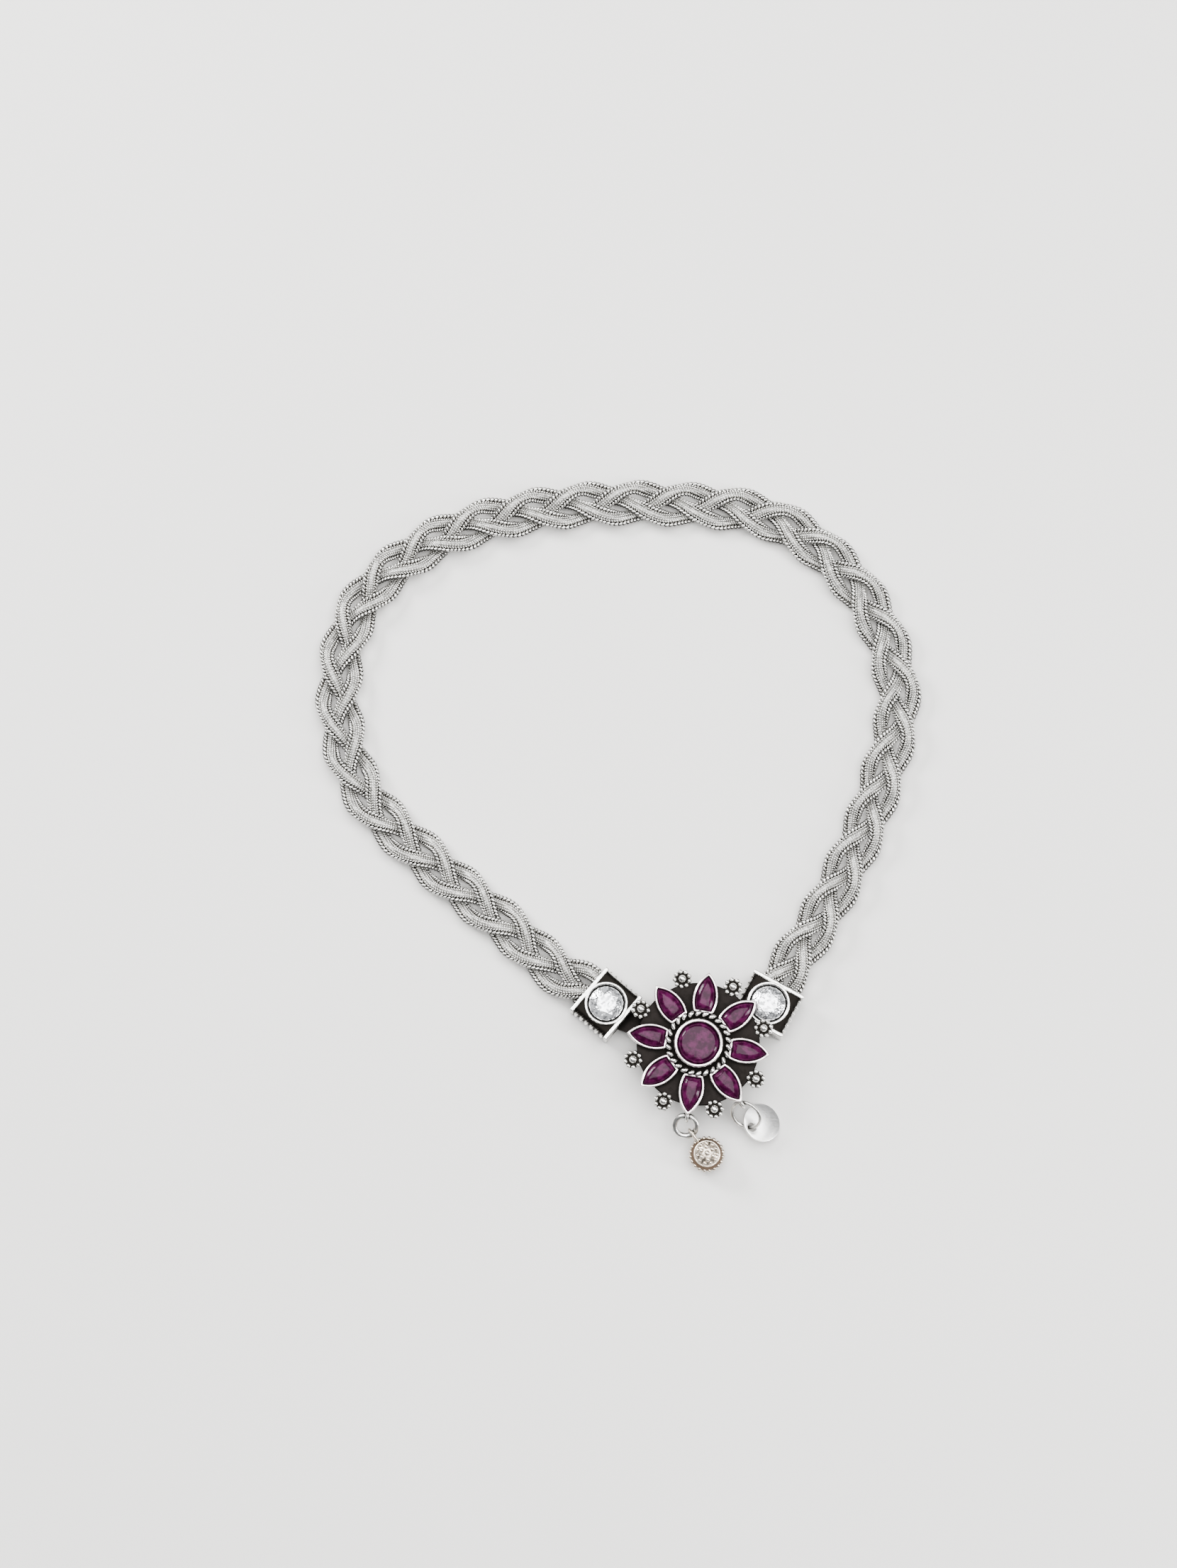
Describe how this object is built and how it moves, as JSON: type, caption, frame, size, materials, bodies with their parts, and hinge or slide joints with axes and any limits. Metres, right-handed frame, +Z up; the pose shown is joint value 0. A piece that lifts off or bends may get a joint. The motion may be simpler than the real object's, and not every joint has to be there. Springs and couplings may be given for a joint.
{
  "type": "payal anklet",
  "caption": "Braided silver anklet: a closed loop of plaited woven chain, end caps with clear stones, and a flower of dark red stones with a bell and a disc drop.",
  "frame": {"origin": "on the underside of the flower, below the middle of its centre stone, at floor level", "axes": "+Z up off the floor that it lies on, loop towards +Y, +X to the right of the flower"},
  "size_m": [0.0878, 0.1008, 0.0069],
  "materials": {
    "braid_silver": "woven silver chain, oxidised dark in its gaps",
    "cast_silver": "cast silver, oxidised, bright on raised edges",
    "bright_silver": "polished silver",
    "ruby_glass": "deep wine-red glass stone, cut and polished",
    "clear_stone": "clear white brilliant-cut stone"
  },
  "bodies": {
    "root": {"braid_strand_1": "braid_silver", "braid_strand_2": "braid_silver", "braid_strand_3": "braid_silver", "end_cap_left": "cast_silver", "cap_stone_left": "clear_stone", "end_cap_right": "cast_silver", "cap_stone_right": "clear_stone", "flower_head": "cast_silver", "centre_stone": "ruby_glass", "petal_stone_1": "ruby_glass", "petal_stone_2": "ruby_glass", "petal_stone_3": "ruby_glass", "petal_stone_4": "ruby_glass", "petal_stone_5": "ruby_glass", "petal_stone_6": "ruby_glass", "petal_stone_7": "ruby_glass", "petal_stone_8": "ruby_glass", "bell_ring": "cast_silver", "bell_drop": "cast_silver", "disc_ring": "cast_silver", "disc_drop": "bright_silver"}
  },
  "joints": []
}
